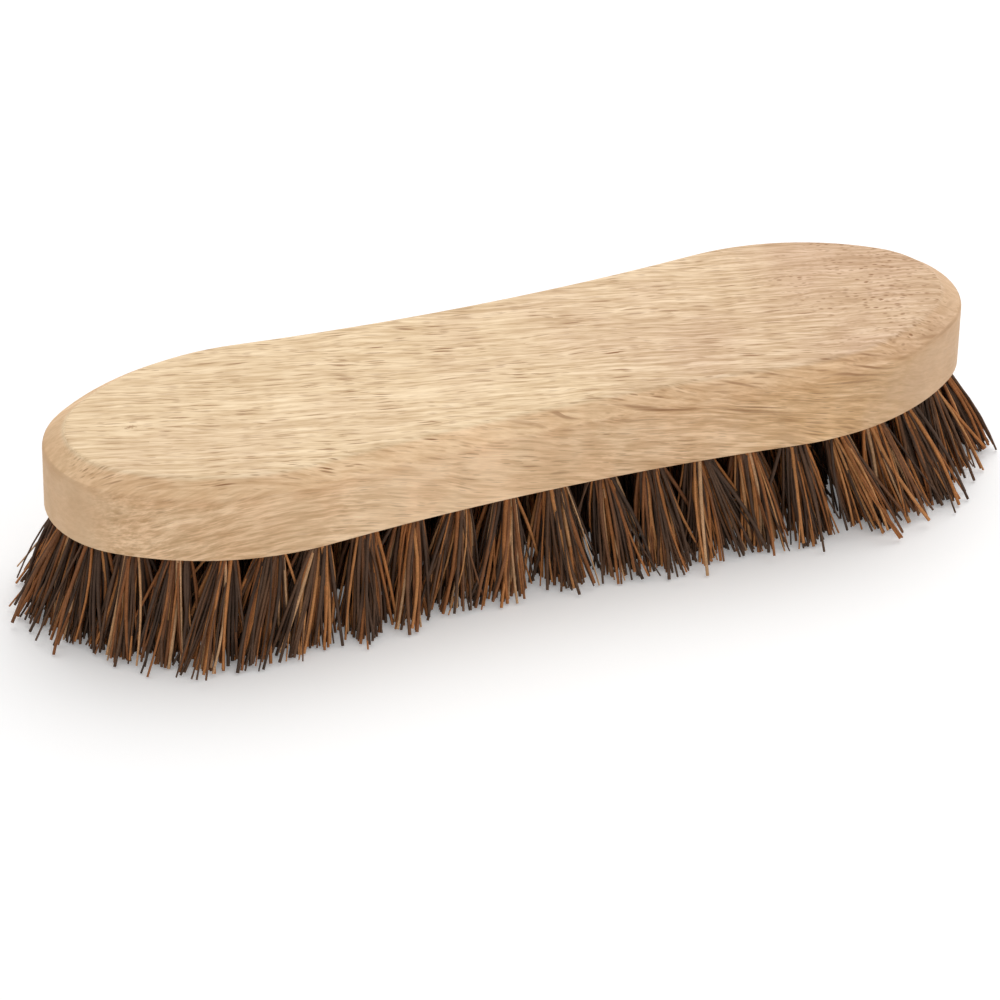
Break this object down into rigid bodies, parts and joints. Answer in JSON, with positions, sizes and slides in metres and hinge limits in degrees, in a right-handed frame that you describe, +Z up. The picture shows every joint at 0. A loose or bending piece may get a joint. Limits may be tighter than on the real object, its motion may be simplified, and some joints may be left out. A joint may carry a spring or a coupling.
{
  "type": "scrub brush",
  "caption": "Waisted wooden scrub brush: a bevelled one-piece block with stiff brown plant-fibre bristles in staple-set tufts that splay outwards, for scrubbing by hand.",
  "frame": {"origin": "on the floor under the middle of the block, at the level of the trimmed bristle tips", "axes": "+X along the brush, +Y across it, +Z up from the bristle tips to the block's back"},
  "size_m": [0.2414, 0.078, 0.045],
  "materials": {
    "block_wood": "bare, sanded smooth",
    "plant_fibre": "coarse stiff plant fibre",
    "staple_steel": "drawn wire"
  },
  "bodies": {
    "root": {"wooden_block": "block_wood", "tuft_row_01": "plant_fibre", "tuft_row_02": "plant_fibre", "tuft_row_03": "plant_fibre", "tuft_row_04": "plant_fibre", "tuft_row_05": "plant_fibre", "tuft_row_06": "plant_fibre", "tuft_row_07": "plant_fibre", "tuft_row_08": "plant_fibre", "tuft_row_09": "plant_fibre", "tuft_row_10": "plant_fibre", "tuft_row_11": "plant_fibre", "tuft_row_12": "plant_fibre", "tuft_row_13": "plant_fibre", "tuft_row_14": "plant_fibre", "tuft_row_15": "plant_fibre", "tuft_row_16": "plant_fibre", "tuft_row_17": "plant_fibre", "tuft_row_18": "plant_fibre", "tuft_row_19": "plant_fibre", "tuft_row_20": "plant_fibre", "tuft_row_21": "plant_fibre", "tuft_row_22": "plant_fibre", "tuft_row_23": "plant_fibre", "staple_row_01": "staple_steel", "staple_row_02": "staple_steel", "staple_row_03": "staple_steel", "staple_row_04": "staple_steel", "staple_row_05": "staple_steel", "staple_row_06": "staple_steel", "staple_row_07": "staple_steel", "staple_row_08": "staple_steel", "staple_row_09": "staple_steel", "staple_row_10": "staple_steel", "staple_row_11": "staple_steel", "staple_row_12": "staple_steel", "staple_row_13": "staple_steel", "staple_row_14": "staple_steel", "staple_row_15": "staple_steel", "staple_row_16": "staple_steel", "staple_row_17": "staple_steel", "staple_row_18": "staple_steel", "staple_row_19": "staple_steel", "staple_row_20": "staple_steel", "staple_row_21": "staple_steel", "staple_row_22": "staple_steel", "staple_row_23": "staple_steel"}
  },
  "joints": []
}
